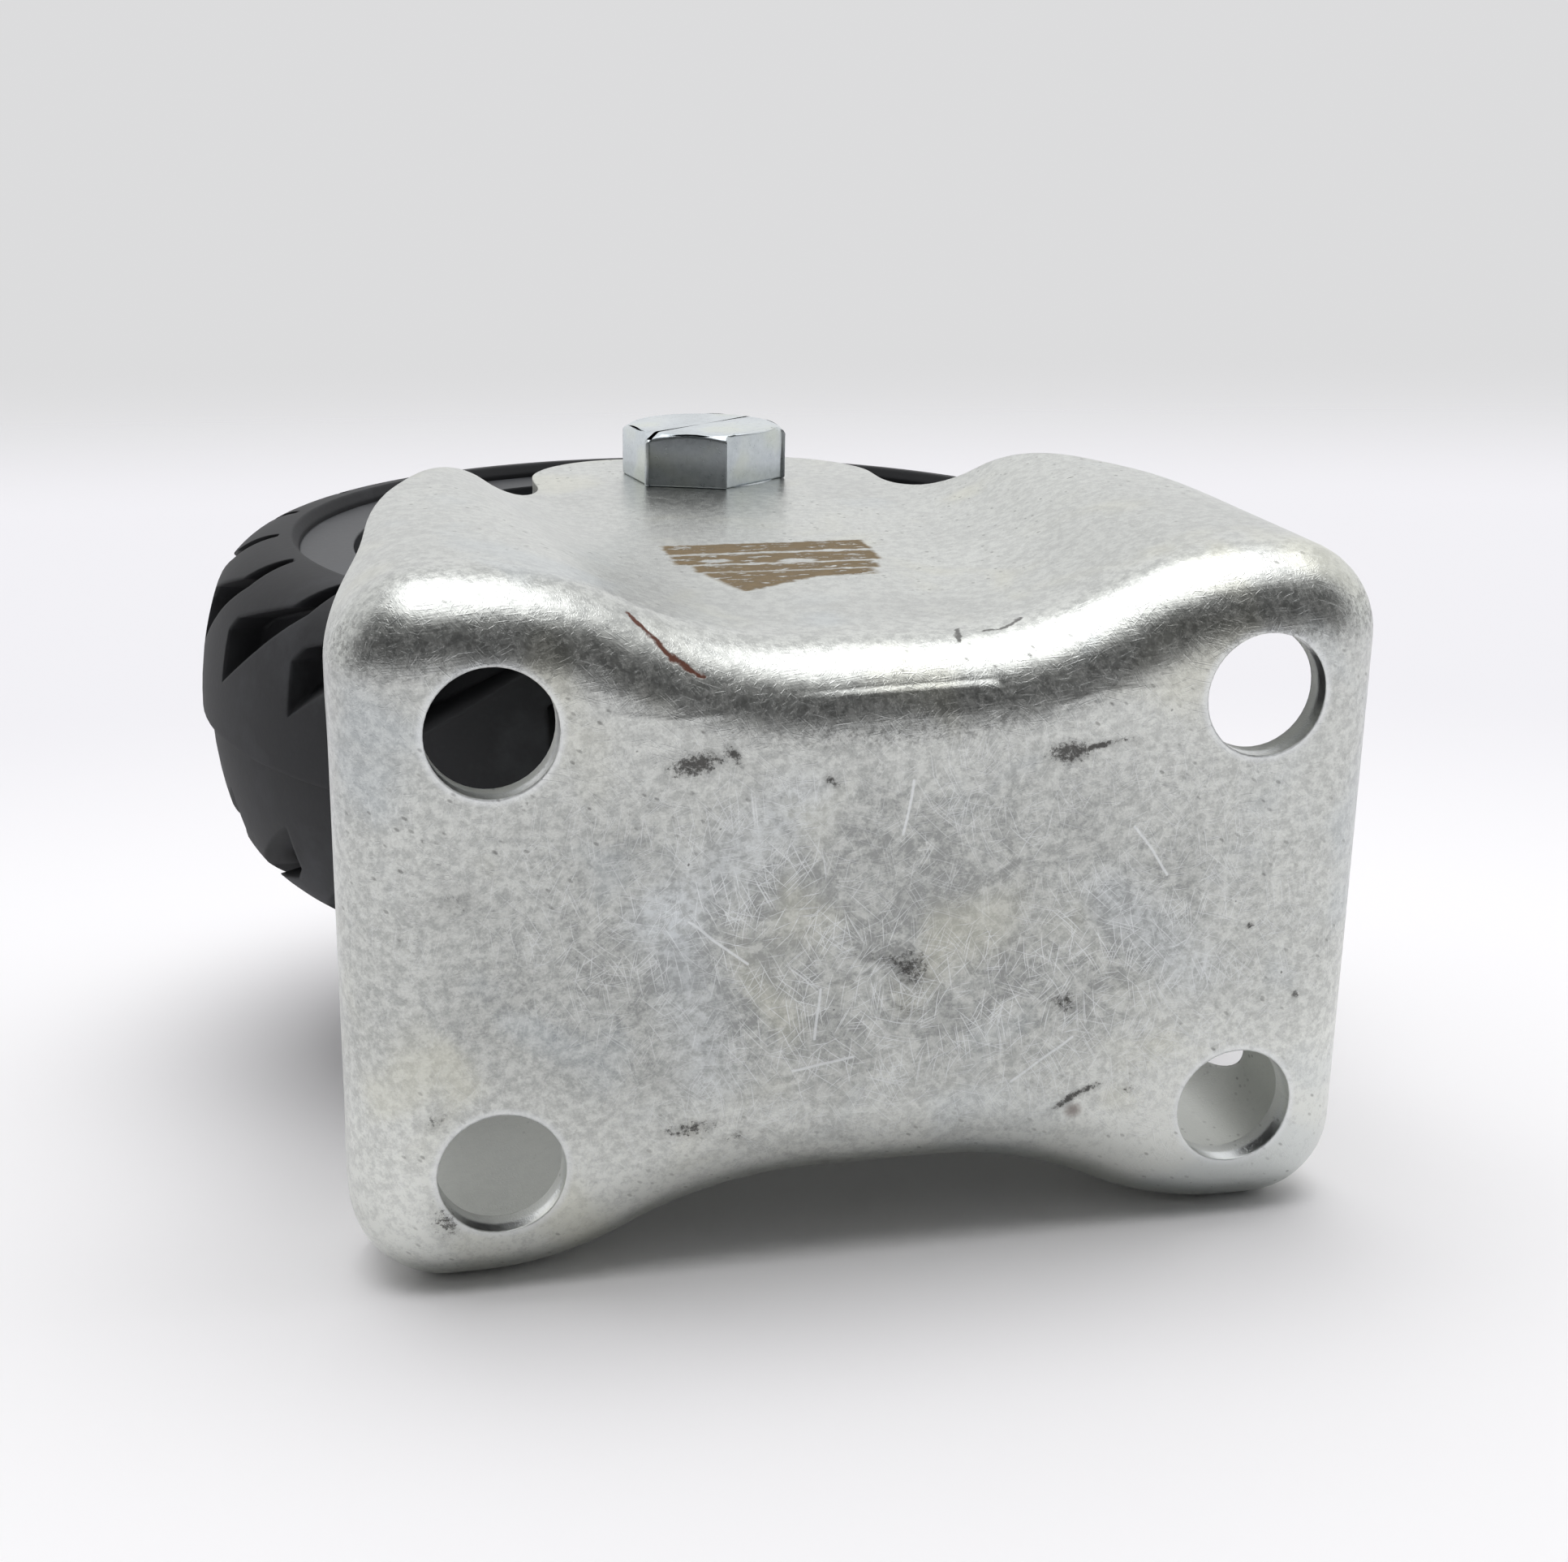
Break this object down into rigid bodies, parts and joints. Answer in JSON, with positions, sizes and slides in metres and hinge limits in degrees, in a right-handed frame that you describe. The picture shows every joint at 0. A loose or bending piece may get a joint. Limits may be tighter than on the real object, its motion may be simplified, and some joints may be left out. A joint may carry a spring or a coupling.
{
  "type": "fixed plate castor",
  "caption": "Fixed plate castor: a pressed steel bracket with a flat bolt-on plate carries a lug-tread rubber wheel on a bolted ball-bearing axle.",
  "frame": {"origin": "centre of the mounting face, which is also the centre of the hole pattern", "axes": "+Z out of the mounting face, up in use; X is the rolling direction; Y is the axle, with the bolt head at +Y"},
  "size_m": [0.125, 0.0778, 0.15],
  "materials": {
    "zinc_sheet": "satin zinc plate with fine scratches",
    "zinc_bolt": "bright zinc plate",
    "zinc_nut": "bright zinc plate",
    "nylon_insert": "natural nylon",
    "plain_steel": "turned steel",
    "moulded_grey": "moulded nylon, fine grain",
    "rubber": "matt black rubber",
    "bearing_steel": "ground steel",
    "bearing_balls": "polished steel",
    "cage_plastic": "moulded nylon",
    "shield_steel": "pressed sheet"
  },
  "bodies": {
    "bracket_and_axle": {"bracket": "zinc_sheet", "axle_bolt": "zinc_bolt", "lock_nut": "zinc_nut", "nut_insert": "nylon_insert", "centre_sleeve": "plain_steel", "head_side_spacer": "plain_steel", "nut_side_spacer": "plain_steel", "head_side_inner_ring": "bearing_steel", "nut_side_inner_ring": "bearing_steel"},
    "wheel": {"wheel_centre": "moulded_grey", "tyre": "rubber", "head_side_outer_ring": "bearing_steel", "head_side_outer_shield": "shield_steel", "head_side_inner_shield": "shield_steel", "nut_side_outer_ring": "bearing_steel", "nut_side_outer_shield": "shield_steel", "nut_side_inner_shield": "shield_steel"},
    "head_side_ball_ring": {"head_side_balls": "bearing_balls", "head_side_cage": "cage_plastic"},
    "nut_side_ball_ring": {"nut_side_balls": "bearing_balls", "nut_side_cage": "cage_plastic"}
  },
  "joints": [
    {"name": "wheel_spin", "type": "hinge", "parent": "bracket_and_axle", "child": "wheel", "pos_m": [0, 0, -0.0875], "axis": [0, 1, 0], "continuous": true},
    {"name": "head_side_balls_spin", "type": "hinge", "parent": "bracket_and_axle", "child": "head_side_ball_ring", "pos_m": [0, 0, -0.0875], "axis": [0, 1, 0], "continuous": true},
    {"name": "nut_side_balls_spin", "type": "hinge", "parent": "bracket_and_axle", "child": "nut_side_ball_ring", "pos_m": [0, 0, -0.0875], "axis": [0, 1, 0], "continuous": true}
  ],
  "couplings": [
    {"joint": "head_side_balls_spin", "follows": "wheel_spin", "ratio": 0.6353},
    {"joint": "nut_side_balls_spin", "follows": "wheel_spin", "ratio": 0.6353}
  ]
}
